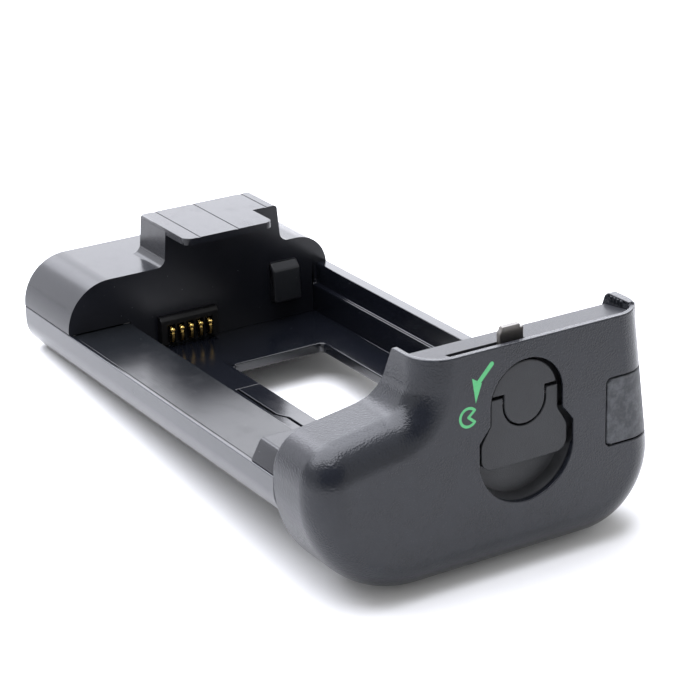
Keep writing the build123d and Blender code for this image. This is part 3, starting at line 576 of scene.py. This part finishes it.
# The width of the softened edge on each moulded piece
EDGE_WIDTHS = {
    "tray_base": 0.22 * MM, "ledge_cover": 0.15 * MM, "contact_hood": 0.3 * MM,
    "guide_wedge": 0.35 * MM, "connector_block": 0.12 * MM, "battery_latch": 0.15 * MM,
    "end_block": 0.3 * MM, "end_cap_shell": 0.22 * MM, "end_cap_plate": 0.15 * MM,
    "cable_flap": 0.2 * MM, "knob_disc": 0.12 * MM, "knob_handle": 0.15 * MM,
    "latch_hook": 0.1 * MM,
}

# Pieces whose flat faces are made whole first, so that the edge runs evenly along them
MERGED_FLATS = (
    "tray_base", "ledge_cover", "end_block", "battery_latch", "guide_wedge", "connector_block",
    "end_cap_shell", "end_cap_plate", "knob_disc", "knob_handle",
)

# The hood's block has creases so short that an edge of full width would fold over itself
NARROWED_EDGES = ("contact_hood",)


def soften_edges(piece, width):
    """Rounds a piece's sharp edges a little, so that they catch the light."""
    piece.data.polygons.foreach_set("use_smooth", [True] * len(piece.data.polygons))
    weld = piece.modifiers.new("weld", "WELD")
    weld.merge_threshold = WELD_DISTANCE
    if piece.name in MERGED_FLATS:
        merge = piece.modifiers.new("flat_faces", "DECIMATE")
        merge.decimate_type = "DISSOLVE"
        merge.angle_limit = FLAT_ANGLE
    edge = piece.modifiers.new("soft_edge", "BEVEL")
    edge.width = width
    edge.segments = EDGE_STEPS
    edge.limit_method = "ANGLE"
    edge.angle_limit = EDGE_ANGLE
    edge.use_clamp_overlap = piece.name in NARROWED_EDGES
    piece.modifiers.new("even_normals", "WEIGHTED_NORMAL")


def dress_nodes():
    """Gives each piece its finish, and the moulded ones a softened edge."""
    for name, finish in NODE_FINISH.items():
        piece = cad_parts[name]
        piece.data.materials.clear()
        piece.data.materials.append(FINISHES[finish].material)
        if name in EDGE_WIDTHS:
            soften_edges(piece, EDGE_WIDTHS[name])


def table():
    """The table, tilted so that the cap's bottom edge and the tray's rear edge both rest on it."""
    cap_foot = Vector((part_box("end_cap_plate")[0][0], 0.0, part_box("end_cap_shell")[0][2]))
    rear_foot = Vector((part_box("tray_base")[0][0], 0.0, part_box("tray_base")[0][2]))
    slope = atan2(rear_foot.z - cap_foot.z, cap_foot.x - rear_foot.x)
    mesh = bpy.data.meshes.new("table")
    sheet = bmesh.new()
    bmesh.ops.create_grid(
        sheet, x_segments=TABLE_SQUARES, y_segments=TABLE_SQUARES, size=TABLE_SIZE / 2
    )
    sheet.transform(Matrix.Translation(cap_foot) @ Matrix.Rotation(slope, 4, "Y"))
    sheet.to_mesh(mesh)
    sheet.free()
    mesh.materials.append(table_finish("table_white").material)
    piece = bpy.data.objects.new("table", mesh)
    bpy.context.collection.objects.link(piece)


def camera():
    """The photograph's camera."""
    back = Vector((
        sin(VIEW_AZIMUTH) * cos(VIEW_ELEVATION),
        -cos(VIEW_AZIMUTH) * cos(VIEW_ELEVATION),
        sin(VIEW_ELEVATION),
    ))
    right = Vector((cos(VIEW_AZIMUTH), sin(VIEW_AZIMUTH), 0.0))
    up = back.cross(right)
    rolled_right = right * cos(VIEW_ROLL) + up * sin(VIEW_ROLL)
    rolled_up = back.cross(rolled_right)
    lens = bpy.data.cameras.new("camera")
    lens.sensor_width = SENSOR
    lens.lens = FOCAL_PIXELS / FRAME_PIXELS * SENSOR
    lens.clip_start = NEAREST_SEEN
    seat = Matrix((rolled_right, rolled_up, back)).transposed().to_4x4()
    seat.translation = VIEW_TARGET + back * VIEW_DISTANCE
    eye = bpy.data.objects.new("camera", lens)
    eye.matrix_world = seat
    bpy.context.collection.objects.link(eye)
    bpy.context.scene.camera = eye


def toward(turn, lift, distance):
    """A place seen from the view's target: turned from the camera's side, and lifted."""
    azimuth = VIEW_AZIMUTH + turn
    away = Vector((sin(azimuth) * cos(lift), -cos(azimuth) * cos(lift), sin(lift)))
    return VIEW_TARGET + away * distance


def panel(name, place, size, power, only_reflected=False):
    """A soft light panel that faces the view's target."""
    light = bpy.data.lights.new(name, "AREA")
    light.shape = "RECTANGLE"
    light.size, light.size_y = size
    light.energy = power
    light.color = LIGHT_TINT
    lamp = bpy.data.objects.new(name, light)
    lamp.visible_diffuse = not only_reflected
    lamp.location = place
    lamp.rotation_euler = (VIEW_TARGET - place).to_track_quat("-Z", "Y").to_euler()
    bpy.context.collection.objects.link(lamp)


def light_panels():
    """One panel above, one across from the camera and one on the left of the view."""
    back_place = toward(BACK_PANEL_TURN, BACK_PANEL_LIFT, PANEL_DISTANCE)
    left_place = toward(LEFT_PANEL_TURN, LEFT_PANEL_LIFT, PANEL_DISTANCE)
    panel("top_panel", TOP_PANEL_PLACE, TOP_PANEL_SIZE, TOP_PANEL_POWER)
    panel("back_panel", back_place, BACK_PANEL_SIZE, BACK_PANEL_POWER, only_reflected=True)
    panel("left_panel", left_place, LEFT_PANEL_SIZE, LEFT_PANEL_POWER)


def dark_card():
    """A dark card behind the camera, which keeps the walls that face it from turning milky."""
    mesh = bpy.data.meshes.new("dark_card")
    half_width, half_height = CARD_SIZE[0] / 2, CARD_SIZE[1] / 2
    corners = [
        (-half_width, -half_height, 0.0),
        (half_width, -half_height, 0.0),
        (half_width, half_height, 0.0),
        (-half_width, half_height, 0.0),
    ]
    mesh.from_pydata(corners, [], [(0, 1, 2, 3)])
    mesh.materials.append(card_finish("card_felt").material)
    card = bpy.data.objects.new("dark_card", mesh)
    place = toward(0.0, CARD_LIFT, CARD_DISTANCE)
    turn = (VIEW_TARGET - place).to_track_quat("-Z", "Y").to_matrix().to_4x4()
    card.matrix_world = Matrix.Translation(place) @ turn
    for kind in ("camera", "diffuse", "transmission", "shadow"):
        setattr(card, f"visible_{kind}", False)
    bpy.context.collection.objects.link(card)


def sky():
    """A white room: full white to the eye and in reflections, softer as a fill."""
    world = bpy.data.worlds.new("room")
    world.use_nodes = True
    room = Nodes(world.node_tree, "ShaderNodeOutputWorld")
    fill = room.node("ShaderNodeBackground", inputs={"Color": WHITE, "Strength": SKY_FILL})
    white = room.node("ShaderNodeBackground", inputs={"Color": WHITE})
    room.feed(room.surface, room.node("ShaderNodeMixShader", inputs=[room.seen(), fill, white]))
    bpy.context.scene.world = world


camera()
sky()
light_panels()
dark_card()
table()
dress_nodes()

bpy.context.scene.view_settings.view_transform = "Standard"
